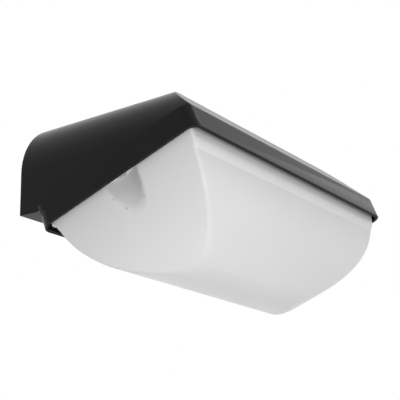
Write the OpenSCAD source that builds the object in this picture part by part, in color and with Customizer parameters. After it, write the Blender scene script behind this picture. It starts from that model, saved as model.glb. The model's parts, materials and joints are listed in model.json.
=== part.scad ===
// Wedge-shaped wall light with an opal bowl that lifts off below a dark moulded body.
// X runs along the wall, +Y points into the wall and +Z up.
// The origin lies on the wall, in the middle of the two fixing holes.

/* [Body] */
// Width of the body across its rim
body_w = 330; // [320:1:360]
// Height of the body where it meets the wall
body_h = 84.5; // [82:0.5:90]
// Height of the fixing holes above the underside of the body
fixing_z = 42; // [40:0.5:44]
// Thickness of the moulded walls
body_wall = 3; // [2.5:0.1:3.2]
// Radius of the two long top corners
top_r = 49; // [40:1:55]
// Angle at which the top climbs away from the wall
top_draft = 2.06; // [1:0.1:3]
// Angle at which each side leans outwards
side_draft = 1.03; // [0.5:0.1:1.2]
// Distance from the wall to the front edge of the top
crown_y = 129; // [124:1:134]

/* [Rim] */
// Angle between the plane of the lip and the horizontal
rim_tilt = 21.6; // [20:0.1:23]
// Length of the rim from its back face to its front face
rim_l = 159; // [156:0.5:164]
// Height of the rim, square to the lip
rim_h = 19; // [17:0.5:20]
// Distance from the wall to the lower back edge of the rim
rim_back = 23; // [22:0.5:26]
// How far that edge hangs below the underside of the body
rim_drop = 15.5; // [14.5:0.5:16.5]
// Corner radius of the rim
rim_r = 10; // [9:0.5:12]
// Height of the ledge above the lip
ledge_z = 10; // [9.8:0.1:10.5]
// Thickness of the ledge
ledge_t = 3.5; // [3:0.1:4]
// Width of the ledge inside the rim wall
ledge_w = 8; // [7.5:0.1:9]

/* [Bowl] */
// Wall thickness of the bowl and its flange
bowl_wall = 2.5; // [2:0.1:3]
// Gap between the flange and the wall of the rim
bowl_gap = 0.5; // [0.3:0.1:0.8]
// Distance from the ends of the rim to the skirt of the bowl
skirt_side = 9.2; // [8.8:0.1:9.8]
// Distance from the front of the rim to the skirt
skirt_front = 8.5; // [8:0.1:9]
// Distance from the back of the rim to the skirt
skirt_back = 10; // [9.5:0.1:10.5]
// Depth of the skirt below the lip
skirt_d = 8; // [6:0.5:10]
// Radius of the rounded ends
end_r = 98.5; // [94:0.5:102]
// Distance of their centres from the ends of the rim
end_x = 100.2; // [97:0.1:104]
// Height of their centres above the lip
end_z = 30.5; // [28:0.5:33]
// Radius of the front face
front_r = 71.9; // [71:0.1:74]
// Distance of its centre from the back of the rim
front_v = 77.7; // [76.5:0.1:78.5]
// Height of its centre above the lip
front_z = 5.9; // [5.5:0.1:7]
// Radius of the underside
belly_r = 86; // [85:0.5:90]
// Radius where the underside turns up to the back
back_r = 60.2; // [59:0.1:62]
// Distance of the underside's centre from the back of the rim
belly_v = 86.4; // [86:0.1:87.5]
// Depth of the bowl below the lip
bowl_d = 65.4; // [63:0.1:67]
// Slope of the underside where it meets the back
back_slope = 34.7; // [33:0.1:36]
// Radius of the screwdriver pocket in each end
pocket_r = 15.7; // [14:0.1:17]
// Distance of the pocket's centre from the end of the rim
pocket_x = 2.3; // [1.5:0.1:3]
// Distance of the pockets and screws from the back of the rim
pocket_v = 81; // [76:0.5:86]

/* [Fasteners] */
// Distance of the bowl screws from the ends of the rim
screw_x = 9.4; // [9.3:0.1:10]
// Shank diameter of the bowl screws
screw_d = 4; // [3.5:0.1:4.2]
// Head diameter of the bowl screws
screw_head_d = 9; // [8:0.1:9.5]
// Height of their heads
screw_head_h = 2.6; // [2:0.1:3]
// Running clearance round a shank that turns
run_fit = 0.05; // [0.03:0.01:0.08]
// Outer diameter of the brass inserts
insert_d = 6.4; // [6:0.1:7]
// Length of the brass inserts
insert_l = 10; // [8:0.5:12]
// Diameter of the wall-fixing holes
fixing_d = 5.5; // [4.5:0.1:6.5]
// Distance between the wall-fixing holes
fixing_pitch = 200; // [180:5:220]
// Bore of the cable grommet
cable_d = 9; // [7:0.5:10]

/* [Tray] */
// Height of the tray's lower face above the lip
tray_z = 34; // [33.5:0.5:36]
// Thickness of the tray
tray_t = 2; // [1.6:0.1:2.4]
// Distance from the ends of the rim to the tray
tray_side = 20; // [19:1:25]
// Front and back edges of the tray, from the back of the rim
tray_back = 0; // [-2:1:4]
tray_front = 136; // [130:1:137]
// Depth of the tray's turned-down edge
tray_lip = 7; // [5:0.5:8]

/* [Lamp] */
// Diameter of the lamp's bulb
bulb_d = 60; // [55:1:62]
// Length of the lamp from its contact to the end of the bulb
lamp_l = 111; // [108:1:113]
// Diameter of the lamp's screw cap
cap_d = 26; // [25.6:0.1:26.4]
// Gap between the cap and the threaded shell
cap_gap = 0.3; // [0.2:0.05:0.4]
// Distance of the lamp's axis from the back of the rim
lamp_v = 80; // [77:0.5:83]
// Distance from the end of the rim to the lampholder's back face
holder_end = 100; // [97:1:105]
// Length of the lampholder
holder_l = 45; // [44:0.5:46]
// Outer diameter of the lampholder
holder_d = 42; // [40:0.5:44]

/* [Hidden] */
$fn = 96;

// Colours of the real pieces
black = [0.12, 0.12, 0.12];
opal = [0.90, 0.90, 0.91];
white = [0.93, 0.93, 0.91];
rubber = [0.20, 0.20, 0.21];
chrome = [0.80, 0.81, 0.83];
zinc = [0.70, 0.72, 0.74];
brass = [0.80, 0.66, 0.36];
porcelain = [0.95, 0.94, 0.91];

// Places that follow from the driving sizes, as [y, z] in the side view
z_bottom = -fixing_z;
z_top = body_h - fixing_z;
rim_z = z_bottom - rim_drop;
far = 400;
overcut = 1;

// A point v outwards along the lip from the back of the rim and h above the lip
function rim_pt(v, h) = [
    -rim_back - v * cos(rim_tilt) + h * sin(rim_tilt),
    rim_z + v * sin(rim_tilt) + h * cos(rim_tilt)
];
rim_up = [sin(rim_tilt), cos(rim_tilt)];

// Where the line through p along a meets the line through q along b
function cross2(a, b) = a[0] * b[1] - a[1] * b[0];
function meet(p, a, q, b) = p + a * cross2(q - p, b) / cross2(a, b);

// Side view of the body: the top climbs to the crown, then falls to the top of the rim
top_along = [-cos(top_draft), sin(top_draft)];
crown = [-crown_y, z_top + crown_y * tan(top_draft)];
rim_top = rim_pt(rim_l, rim_h);
brow_along = (rim_top - crown) / norm(rim_top - crown);
brow_in = [-brow_along[1], brow_along[0]] * body_wall;
web_t = 3;
gusset_t = 2.4;
gusset_x = 60;
gusset_h = 29;
gusset_l = 34;

// Heights above the lip
seal_t = 2;
seal_w = 2;
seal_in = body_wall + 0.6;
seal_squeeze = 0.5;
flange_top = ledge_z - seal_squeeze;
flange_z = flange_top - 3;
ledge_top = ledge_z + ledge_t;
flange_in = body_wall + bowl_gap;
washer_t = 1.2;
head_z = flange_z - washer_t;
clip_t = 0.6;
clip_d = 7;
clip_pocket_d = 8.5;
clip_pocket_h = 2;
boss_d = 12.4;
insert_z = flange_top + clip_pocket_h;
insert_hole_top = insert_z + insert_l + 4;
boss_top = insert_hole_top + 2;
screw_tip = insert_z + insert_l - 1;
tray_top = tray_z + tray_t;
tray_w = body_w - 2 * tray_side;
tray_boss_d = 8;
tray_boss_h = 18;
ear_w = tray_boss_d + 1;
tray_boss_x = tray_w / 2 + 4;
tray_boss_v = [28, 112];
tray_screw_d = 3.5;
tray_head_d = 7;
tray_head_h = 2.2;
small_head_d = 6.5;
small_head_h = 2;
block_head_d = 5;
block_head_h = 1.8;
pilot_d = 2.9;
pilot_h = 14;
grommet_z = -14;
grommet_hole_d = cable_d + 9;
grommet_rim_d = grommet_hole_d + 5;
grommet_rim_t = 1;
grommet_barb_h = 3;
grommet_l = body_wall + 8;
fixing_washer_d = fixing_d + 7;
fixing_washer_t = 1.5;
skirt_r = 4;
belly_z = belly_r - bowl_d;
inner_r = 3;
arc_step = 3;

// Lamp and lampholder, as distances along the wall
holder_x = body_w / 2 - holder_end;
holder_mouth = holder_x - holder_l;
shell_t = 0.5;
shell_r = cap_d / 2 + cap_gap;
shell_front = holder_mouth + 4;
shell_back = holder_x - 15;
cap_back = shell_back;
cap_front = cap_back - 24;
cap_base_r = 9.5;
tip_x = cap_back + 3;
tip_foot_r = 6;
tip_neck_r = 4;
tip_neck_x = cap_back + 2;
solder_r = 3.2;
solder_flat_r = 2;
bulb_end = tip_x - lamp_l;
bulb_r = bulb_d / 2;
bulb_x = bulb_end + bulb_r;
contact_gap = 0.3;
contact_t = 0.5;
bracket_t = 1.5;
bracket_w = 34;
bracket_drop = 20;
bracket_foot = 22;
foot_hole_x = holder_x + 15;
foot_pitch = 20;
holder_screw_r = 14;
holder_screw_d = 3.5;
holder_screw_l = 7;
holder_bore_l = 12;
chamber_x = holder_x - 8;
shell_floor_in = 3.8;
wire_r = 4.5;

// Terminal block and cable clamp on the tray
block_x = holder_x + bracket_foot + 4;
block_l = 22;
block_h = 16;
block_base = 3;
pole_pitch = 14;
block_w = 2 * pole_pitch + 6;
tube_d = 6;
tube_z = tray_z - 9;
term_screw_d = 3;
term_screw_x = [5, 17];
term_head_d = 5;
term_head_h = 1.8;
clamp_x = block_x + block_l + 3;
clamp_l = 9;
clamp_w = 32;
clamp_t = 3.5;
clamp_pitch = 24;
post_h = 6;
post_d = 8;
cable_hole_x = clamp_x + clamp_l + 8;
cable_hole_d = 12;
wire_d = 2.4;
wire_gap = 0.3;

// Everything inside is placed from the rim: X along the wall, -Y outwards, +Z into the body
module on_rim() {
    translate([0, -rim_back, rim_z]) rotate([-rim_tilt, 0, 0]) children();
}

// A rectangle inside the rim's outline, with its corner radius r
module inside_rim(side, back, front, r) {
    x1 = body_w / 2 - side - r;
    y1 = -back - r;
    y2 = -(rim_l - front - r);
    translate([-x1 - r, y2]) square([2 * (x1 + r), y1 - y2]);
    translate([-x1, y2 - r]) square([2 * x1, y1 - y2 + 2 * r]);
    for (x = [-x1, x1]) for (y = [y1, y2]) translate([x, y]) circle(r);
}

module rim_plate(inset, z0, z1) {
    translate([0, 0, z0]) linear_extrude(z1 - z0)
        inside_rim(inset, inset, inset, max(rim_r - inset, inner_r));
}

// The body seen from the front, with one rounded top corner on side s
module front_view(s, inset) {
    r = top_r - inset;
    x = body_w / 2 - inset;
    z = z_top - inset;
    mirror([s > 0 ? 0 : 1, 0]) {
        translate([-far, -far]) square([far + x - r, far + z]);
        translate([-far, -far]) square([far + x, far + z - r]);
        translate([x - r, z - r]) circle(r, $fn = 160);
    }
}

// That view drawn out from the wall, leaning with the draft of the top and the side
module drafted(s, inset) {
    front_y = -rim_pt(rim_l, 0)[0];
    translate([s * body_w / 2, -front_y, 0]) rotate([0, 0, s * side_draft])
        translate([-s * body_w / 2, front_y, 0])
            translate([0, 0, z_top]) rotate([-top_draft, 0, 0]) translate([0, 0, -z_top])
                rotate([90, 0, 0]) translate([0, 0, -far / 4]) linear_extrude(far) front_view(s, inset);
}

module side_prism(points) {
    rotate([90, 0, 90]) translate([0, 0, -far / 2]) linear_extrude(far) polygon(points);
}

// The outer shape above the lip, before it is hollowed
module body_block() {
    heel = meet([0, z_bottom], [-1, 0], rim_pt(0, 0), rim_up);
    intersection() {
        side_prism([[0, z_bottom], [0, z_top], crown, rim_top, rim_pt(rim_l, 0), rim_pt(0, 0), heel]);
        drafted(1, 0);
        drafted(-1, 0);
        on_rim() linear_extrude(far, center = true) inside_rim(0, -far, 0, rim_r);
    }
}

module body_cavity() {
    w = body_wall;
    heel = meet([0, z_bottom + w], [-1, 0], rim_pt(w, 0), rim_up);
    front = meet(rim_pt(rim_l - w, 0), rim_up, crown + brow_in, brow_along);
    roof = meet(crown - [0, w], top_along, crown + brow_in, brow_along);
    intersection() {
        side_prism([
            [-w, z_bottom + w], [-w, z_top - w + w * tan(top_draft)], roof, front,
            rim_pt(rim_l - w, ledge_top), rim_pt(w, ledge_top), heel
        ]);
        drafted(1, w);
        drafted(-1, w);
        on_rim() linear_extrude(far, center = true) inside_rim(w, -far, w, rim_r - w);
    }
}

// Columns inside the body, joined to its sides by webs
module body_columns() {
    on_rim() {
        for (s = [-1, 1]) {
            translate([s * (body_w / 2 - screw_x), -pocket_v, flange_top])
                cylinder(d = boss_d, h = boss_top - flange_top);
            for (v = tray_boss_v) translate([s * tray_boss_x, -v, tray_top]) {
                cylinder(d = tray_boss_d, h = tray_boss_h);
                translate([s > 0 ? 0 : -body_w / 2 + tray_boss_x, -web_t / 2, 0])
                    cube([body_w / 2 - tray_boss_x, web_t, tray_boss_h]);
            }
        }
    }
    // Gussets between the back wall and the top
    for (x = [-gusset_x, gusset_x]) translate([x, -body_wall / 2, z_top - body_wall / 2])
        rotate([90, 0, 90]) linear_extrude(gusset_t, center = true)
            polygon([[0, -gusset_h], [0, 0], [-gusset_l, 0]]);
}

module housing() {
    color(black) difference() {
        union() {
            difference() {
                union() {
                    body_block();
                    on_rim() rim_plate(0, 0, rim_h);
                }
                body_cavity();
                on_rim() {
                    rim_plate(body_wall, -overcut, ledge_z);
                    rim_plate(body_wall + ledge_w, 0, ledge_top + overcut);
                }
            }
            intersection() {
                body_columns();
                union() {
                    body_block();
                    on_rim() rim_plate(0, 0, rim_h);
                }
            }
        }
        on_rim() {
            difference() {
                rim_plate(seal_in, 0, flange_top + seal_t);
                rim_plate(seal_in + seal_w, -overcut, rim_h);
            }
            for (s = [-1, 1]) {
                translate([s * (body_w / 2 - screw_x), -pocket_v, 0]) {
                    cylinder(d = clip_pocket_d, h = insert_z);
                    cylinder(d = insert_d, h = insert_hole_top);
                }
                for (v = tray_boss_v) translate([s * tray_boss_x, -v, tray_top - overcut])
                    cylinder(d = pilot_d, h = pilot_h + overcut);
            }
        }
        for (x = [-1, 1]) translate([x * fixing_pitch / 2, overcut, 0]) rotate([90, 0, 0])
            cylinder(d = fixing_d, h = body_wall + 2 * overcut);
        on_cable_axis() {
            translate([0, 0, -overcut]) cylinder(d = grommet_hole_d, h = body_wall + 2 * overcut);
            translate([0, 0, -overcut]) cylinder(d = grommet_rim_d, h = grommet_rim_t + overcut);
        }
    }
}

module on_cable_axis() {
    translate([0, 0, grommet_z]) rotate([90, 0, 0]) children();
}

module tube(outer, bore, h) {
    difference() {
        cylinder(d = outer, h = h);
        translate([0, 0, -overcut]) cylinder(d = bore, h = h + 2 * overcut);
    }
}

module rim_seal() {
    color(rubber) on_rim() difference() {
        rim_plate(seal_in, flange_top, flange_top + seal_t);
        rim_plate(seal_in + seal_w, 0, rim_h);
    }
}

module on_bowl_screw(s) {
    on_rim() translate([s * (body_w / 2 - screw_x), -pocket_v, 0]) children();
}

module screw_inserts() {
    color(brass) for (s = [-1, 1]) on_bowl_screw(s) translate([0, 0, insert_z])
        tube(insert_d, screw_d + 2 * run_fit, insert_l);
}

module cable_grommet() {
    color(rubber) on_cable_axis() difference() {
        union() {
            cylinder(d = grommet_rim_d, h = grommet_rim_t);
            cylinder(d = grommet_hole_d, h = body_wall + overcut);
            translate([0, 0, body_wall])
                cylinder(d1 = grommet_rim_d, d2 = grommet_hole_d, h = grommet_barb_h);
            cylinder(d = cable_d + 3, h = grommet_l);
        }
        translate([0, 0, -overcut]) cylinder(d = cable_d, h = grommet_l + 2 * overcut);
    }
}

module fixing_washers() {
    color(rubber) for (x = [-1, 1]) translate([x * fixing_pitch / 2, -body_wall, 0])
        rotate([90, 0, 0]) tube(fixing_washer_d, fixing_d, fixing_washer_t);
}

// Points along an arc, without its last one
function arc(centre, r, from, to) = let (n = ceil(abs(to - from) / arc_step))
    [for (i = [0:n - 1]) let (a = from + (to - from) * i / n) centre + r * [cos(a), sin(a)]];

// Where two circles meet, on the left of the line from the first to the second
function circles_meet(c1, r1, c2, r2) = let (
    d = norm(c2 - c1), u = (c2 - c1) / d, a = (r1 * r1 - r2 * r2 + d * d) / (2 * d), h = sqrt(r1 * r1 - a * a)
) c1 + a * u + h * [-u[1], u[0]];

// Side view of the bowl as [v, h], seen with the front to the right: one arc for the front face,
// which meets the underside in the ridge, and a tighter arc that carries the underside up the back
function bowl_profile(inset) = let (
    front = [front_v, front_z],
    belly = [belly_v, belly_z],
    back = belly - (belly_r - back_r) * [sin(back_slope), cos(back_slope)],
    ridge = circles_meet(belly, belly_r - inset, front, front_r - inset),
    front_ridge = ridge - front,
    belly_ridge = ridge - belly
) concat(
    arc(front, front_r - inset, asin((flange_z - front_z) / (front_r - inset)),
        atan2(front_ridge[1], front_ridge[0])),
    arc(belly, belly_r - inset, atan2(belly_ridge[1], belly_ridge[0]), -90 - back_slope),
    arc(back, back_r - inset, -90 - back_slope, -180 - asin((flange_z - back[1]) / (back_r - inset))),
    [[back[0] - sqrt(pow(back_r - inset, 2) - pow(flange_z - back[1], 2)), flange_z]]
);

// The ends of the bowl: two round sweeps along the lip with a deep middle between them
module bowl_ends(inset) {
    x = body_w / 2 - end_x;
    translate([-x, -far, -far]) cube([2 * x, 2 * far, 2 * far]);
    for (s = [-1, 1]) translate([s * x, rim_l, end_z]) rotate([90, 0, 0])
        cylinder(r = end_r - inset, h = 3 * rim_l, $fn = 180);
}

module skirt_plan(inset) {
    inside_rim(skirt_side + inset, skirt_back + inset, skirt_front + inset, skirt_r - inset);
}

// The bowl's outside, or its inside when inset by the wall
module bowl_solid(inset) {
    intersection() {
        rotate([90, 0, -90]) linear_extrude(body_w, center = true) polygon(bowl_profile(inset));
        bowl_ends(inset);
        linear_extrude(far, center = true) skirt_plan(inset);
    }
}

module pockets(r, top) {
    for (s = [-1, 1]) translate([s * (body_w / 2 - pocket_x), -pocket_v, -far])
        cylinder(r = r, h = far + top);
}

module diffuser() {
    w = bowl_wall;
    color(opal) on_rim() difference() {
        union() {
            rim_plate(flange_in, flange_z, flange_top);
            translate([0, 0, -skirt_d]) linear_extrude(skirt_d + flange_z) skirt_plan(0);
            bowl_solid(0);
        }
        difference() {
            union() {
                bowl_solid(w);
                translate([0, 0, w - skirt_d]) linear_extrude(skirt_d + rim_h) skirt_plan(w);
            }
            pockets(pocket_r + w, rim_h);
        }
        pockets(pocket_r, flange_z);
        for (s = [-1, 1]) translate([s * (body_w / 2 - screw_x), -pocket_v, 0])
            cylinder(d = screw_d + 2 * run_fit, h = rim_h);
    }
}

module screw_washers() {
    color(rubber) for (s = [-1, 1]) on_bowl_screw(s) translate([0, 0, head_z])
        tube(screw_head_d - 0.6, screw_d + 2 * run_fit, washer_t);
}

// A head that stands on z = 0 and points down, with a domed face
module domed_head(d, h) {
    dome_r = d * 0.9;
    rotate_extrude() intersection() {
        translate([0, -h]) square([d / 2, h]);
        translate([0, dome_r - h]) circle(dome_r);
    }
}

module cross_recess(d, h) {
    arm_w = d * 0.14;
    depth = h * 0.6;
    for (a = [0, 90]) rotate(a) translate([-d / 4, -arm_w / 2, -h - overcut])
        cube([d / 2, arm_w, depth + overcut]);
    translate([0, 0, -h - overcut]) cylinder(d = 2 * arm_w, h = depth + overcut);
}

module bowl_screw(s) {
    color(chrome) on_bowl_screw(s) {
        translate([0, 0, head_z]) difference() {
            domed_head(screw_head_d, screw_head_h);
            cross_recess(screw_head_d, screw_head_h);
        }
        translate([0, 0, head_z]) cylinder(d = screw_d, h = screw_tip - 1 - head_z);
        translate([0, 0, screw_tip - 1]) cylinder(d1 = screw_d, d2 = screw_d - 1.4, h = 1);
    }
}

module bowl_screw_left() { bowl_screw(-1); }
module bowl_screw_right() { bowl_screw(1); }

module retaining_clip(s) {
    slit_w = 0.6;
    slit_l = 0.7;
    color(zinc) on_bowl_screw(s) translate([0, 0, flange_top]) difference() {
        tube(clip_d, screw_d, clip_t);
        for (a = [0:60:300]) rotate(a) translate([screw_d / 2 - overcut, -slit_w / 2, -overcut])
            cube([overcut + slit_l, slit_w, clip_t + 2 * overcut]);
    }
}

module retaining_clip_left() { retaining_clip(-1); }
module retaining_clip_right() { retaining_clip(1); }

// The tray is a shallow pan, open downwards, that hides the wiring space above it
module tray_plan(inset, r) {
    x = tray_w / 2 - inset - r;
    y1 = -tray_back - inset - r;
    y2 = -tray_front + inset + r;
    translate([-x - r, y2]) square([2 * (x + r), y1 - y2]);
    translate([-x, y2 - r]) square([2 * x, y1 - y2 + 2 * r]);
    for (cx = [-x, x]) for (cy = [y1, y2]) translate([cx, cy]) circle(r);
}

module on_tray_screws() {
    for (s = [-1, 1]) for (v = tray_boss_v) translate([s * tray_boss_x, -v, tray_z]) children();
}

module on_clamp_screws(z) {
    for (s = [-1, 1]) translate([clamp_x + clamp_l / 2, -lamp_v + s * clamp_pitch / 2, z]) children();
}

module on_foot_screws(z) {
    for (s = [-1, 1]) translate([foot_hole_x, -lamp_v + s * foot_pitch / 2, z]) children();
}

module reflector_tray() {
    corner_r = 14;
    through = tray_t + 2 * overcut;
    color(white) on_rim() difference() {
        union() {
            difference() {
                translate([0, 0, tray_z - tray_lip]) linear_extrude(tray_lip + tray_t) tray_plan(0, corner_r);
                translate([0, 0, tray_z - tray_lip - overcut]) linear_extrude(tray_lip + overcut)
                    tray_plan(tray_t, corner_r - tray_t);
            }
            // Ears that reach the columns
            for (s = [-1, 1]) for (v = tray_boss_v) translate([s * tray_boss_x, -v, tray_z]) {
                cylinder(d = ear_w, h = tray_t);
                translate([s > 0 ? -ear_w : 0, -ear_w / 2, 0]) cube([ear_w, ear_w, tray_t]);
            }
            // Posts below the cable clamp
            on_clamp_screws(tray_z - post_h) cylinder(d = post_d, h = post_h);
        }
        on_tray_screws() translate([0, 0, -overcut]) cylinder(d = tray_screw_d, h = through);
        on_clamp_screws(tray_z - post_h - overcut) cylinder(d = pilot_d, h = post_h + overcut);
        on_foot_screws(tray_z - overcut) cylinder(d = pilot_d, h = through);
        translate([block_x + block_l / 2, -lamp_v, tray_z - overcut]) cylinder(d = pilot_d, h = through);
        translate([cable_hole_x, -lamp_v, tray_z - overcut]) cylinder(d = cable_hole_d, h = through);
    }
}

// A pan-head screw driven upwards from z = 0: the head hangs below, the shank stands above
module pan_screw(d, head, head_h, l) {
    difference() {
        domed_head(head, head_h);
        cross_recess(head, head_h);
    }
    cylinder(d = d, h = l);
}

module tray_screws() {
    color(zinc) on_rim() on_tray_screws() pan_screw(pilot_d, tray_head_d, tray_head_h, tray_t + pilot_h - 2);
}

module lampholder_bracket() {
    through = bracket_t + 2 * overcut;
    color(zinc) on_rim() difference() {
        union() {
            translate([holder_x, -lamp_v - bracket_w / 2, -bracket_drop])
                cube([bracket_t, bracket_w, tray_z + bracket_drop]);
            translate([holder_x, -lamp_v - bracket_w / 2, tray_z - bracket_t])
                cube([bracket_foot, bracket_w, bracket_t]);
            // Stiffening webs in the corner
            for (s = [-1, 1]) translate([holder_x + bracket_t / 2, -lamp_v + s * (bracket_w / 2 - 0.75), 0])
                rotate([90, 0, 0]) linear_extrude(1.5, center = true)
                    polygon([[0, tray_z - 12], [0, tray_z - bracket_t / 2], [12, tray_z - bracket_t / 2]]);
        }
        translate([holder_x - overcut, -lamp_v, 0]) rotate([0, 90, 0]) cylinder(d = 16, h = through);
        for (s = [-1, 1]) translate([holder_x - overcut, -lamp_v + s * holder_screw_r, 0])
            rotate([0, 90, 0]) cylinder(d = holder_screw_d + 0.4, h = through);
        on_foot_screws(tray_z - bracket_t - overcut) cylinder(d = tray_screw_d, h = through);
    }
}

module bracket_screws() {
    color(zinc) on_rim() on_foot_screws(tray_z - bracket_t)
        pan_screw(pilot_d, small_head_d, small_head_h, bracket_t + tray_t + 2);
}

// On the lamp's axis, z is the distance along the wall
module on_lamp_axis() {
    on_rim() translate([0, -lamp_v, 0]) rotate([0, 90, 0]) children();
}

module lampholder_body() {
    r = holder_d / 2;
    waist = r - 2.5;
    color(porcelain) on_lamp_axis() difference() {
        rotate_extrude() difference() {
            polygon([
                [0, holder_mouth], [waist - 1, holder_mouth], [waist, holder_mouth + 1],
                [waist, holder_mouth + 12], [r, holder_mouth + 16],
                [r, holder_x - 2], [r - 2, holder_x], [0, holder_x]
            ]);
            translate([0, holder_mouth - overcut])
                square([shell_r + shell_t + 1.5, shell_front - holder_mouth + overcut]);
            translate([0, holder_mouth]) square([shell_r + shell_t, shell_back + 1 - holder_mouth]);
            translate([0, holder_mouth]) square([shell_r - 2, chamber_x - holder_mouth]);
        }
        for (s = [-1, 1]) {
            translate([0, s * wire_r, chamber_x - overcut])
                cylinder(d = wire_d + 2 * wire_gap, h = holder_bore_l);
            translate([0, s * holder_screw_r, chamber_x]) cylinder(d = holder_screw_d, h = holder_bore_l);
        }
    }
}

module lampholder_shell() {
    color(brass) on_lamp_axis() rotate_extrude() {
        translate([shell_r, shell_front + 0.5]) square([shell_t, shell_back + 1 - shell_front - 0.5]);
        translate([shell_r - shell_floor_in, shell_back + 1 - shell_t])
            square([shell_floor_in + shell_t, shell_t]);
    }
}

// A sprung strip whose raised end meets the contact of the lamp
module centre_contact() {
    tip = tip_x + contact_gap;
    t = contact_t;
    color(brass) on_rim() translate([0, -lamp_v, 0]) linear_extrude(6, center = true) polygon([
        [tip, -2.5], [tip, 2.5], [chamber_x - t, 8], [chamber_x - t, 9], [chamber_x, 9], [chamber_x, 7.6],
        [tip + t, 2], [tip + t, -2.5]
    ]);
}

// An angled strip whose tongue lies on the back of the threaded shell
module side_contact() {
    back = shell_back + 1;
    t = contact_t;
    r = shell_r - shell_floor_in + 0.3;
    tongue = 1.2;
    color(brass) on_rim() translate([0, -lamp_v, 0]) rotate([90, 0, 0]) linear_extrude(5, center = true)
        polygon([
            [back, -r - tongue], [back, -r], [chamber_x - t, -r], [chamber_x - t, -5], [chamber_x, -5],
            [chamber_x, -r - t], [back + t, -r - t], [back + t, -r - tongue]
        ]);
}

module lampholder_screws() {
    color(zinc) on_lamp_axis() for (s = [-1, 1]) translate([0, s * holder_screw_r, holder_x + bracket_t])
        rotate([180, 0, 0])
            pan_screw(holder_screw_d, tray_head_d, tray_head_h, bracket_t + holder_screw_l);
}

module lamp_tip() {
    color(zinc) on_lamp_axis() rotate_extrude() polygon([
        [0, cap_back], [cap_base_r, cap_back], [tip_foot_r, tip_neck_x], [tip_neck_r, tip_neck_x],
        [solder_r, tip_x - 0.3], [solder_flat_r, tip_x], [0, tip_x]
    ]);
}

module lamp_cap() {
    r = cap_d / 2;
    color(zinc) on_lamp_axis() rotate_extrude() polygon([
        [0, cap_front], [r, cap_front], [r, cap_back - 2], [cap_base_r, cap_back], [0, cap_back]
    ]);
}

// The bulb's neck eases from the cap into the sphere
module lamp_bulb() {
    join_a = 50;
    neck_r = cap_d / 2 - 0.2;
    join = [bulb_r * sin(join_a), bulb_x + bulb_r * cos(join_a)];
    start = [neck_r, cap_front];
    bend_1 = start + [0.5, -16];
    bend_2 = join + [-cos(join_a), sin(join_a)] * 14;
    neck = [for (t = [0:0.125:1]) let (u = 1 - t)
        start * pow(u, 3) + bend_1 * 3 * u * u * t + bend_2 * 3 * u * t * t + join * pow(t, 3)];
    color(white) on_lamp_axis() {
        translate([0, 0, bulb_x]) sphere(bulb_r);
        rotate_extrude()
            polygon(concat([[0, cap_front]], neck, [join * 0.9 + [0, bulb_x] * 0.1, [0, bulb_x]]));
    }
}

module terminal_block() {
    wall = 1.2;
    color(white) on_rim() difference() {
        union() {
            translate([block_x, -lamp_v - block_w / 2, tray_z - block_base])
                cube([block_l, block_w, block_base]);
            for (s = [-1, 1])
                translate([block_x, -lamp_v + s * pole_pitch / 2 - tube_d / 2 - wall, tray_z - block_h])
                    cube([block_l, tube_d + 2 * wall, block_h]);
        }
        for (s = [-1, 1]) translate([block_x - overcut, -lamp_v + s * pole_pitch / 2, tube_z])
            rotate([0, 90, 0]) cylinder(d = tube_d, h = block_l + 2 * overcut);
        for (s = [-1, 1]) for (x = term_screw_x)
            translate([block_x + x, -lamp_v + s * pole_pitch / 2, tray_z - block_h - overcut])
                cylinder(d = term_head_d + 0.6, h = tube_z - tray_z + block_h + overcut);
        translate([block_x + block_l / 2, -lamp_v, tray_z - block_base - overcut])
            cylinder(d = tray_screw_d, h = block_base + 2 * overcut);
    }
}

module terminal_tubes() {
    color(brass) on_rim() for (s = [-1, 1])
        translate([block_x, -lamp_v + s * pole_pitch / 2, tube_z]) difference() {
            rotate([0, 90, 0]) translate([0, 0, 1]) cylinder(d = tube_d, h = block_l - 2);
            rotate([0, 90, 0]) cylinder(d = wire_d + 2 * wire_gap, h = block_l + overcut);
            for (x = term_screw_x) translate([x, 0, -tube_d])
                cylinder(d = term_screw_d + 2 * run_fit, h = tube_d);
        }
}

module terminal_screw(i) {
    x = term_screw_x[i % 2];
    s = i < 2 ? -1 : 1;
    gap = 0.2;
    color(zinc) on_rim() translate([block_x + x, -lamp_v + s * pole_pitch / 2, tube_z]) {
        translate([0, 0, -tube_d / 2 - gap - term_head_h]) difference() {
            cylinder(d = term_head_d, h = term_head_h);
            translate([-term_head_d, -0.4, -overcut]) cube([2 * term_head_d, 0.8, overcut + 1]);
        }
        translate([0, 0, -tube_d / 2 - gap])
            cylinder(d = term_screw_d, h = tube_d / 2 + gap - wire_d / 2 - wire_gap);
    }
}

module terminal_screw_1() { terminal_screw(0); }
module terminal_screw_2() { terminal_screw(1); }
module terminal_screw_3() { terminal_screw(2); }
module terminal_screw_4() { terminal_screw(3); }

module terminal_fixing_screw() {
    color(zinc) on_rim() translate([block_x + block_l / 2, -lamp_v, tray_z - block_base])
        pan_screw(pilot_d, block_head_d, block_head_h, block_base + tray_t + 1);
}

// A wire as one tube along a smooth rise from the lampholder to its terminal
function ease(t) = let (u = min(1, max(0, t))) u * u * (3 - 2 * u);
function wire_point(s, t) = let (
    x0 = holder_x - 7, x1 = block_x + block_l / 2 - 1, x = x0 + (x1 - x0) * t,
    k = ease((x - holder_x - 3) / (block_x - holder_x - 6))
) [x, -lamp_v + s * (wire_r + (pole_pitch / 2 - wire_r) * k), tube_z * k];
function unit(v) = v / norm(v);

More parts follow.
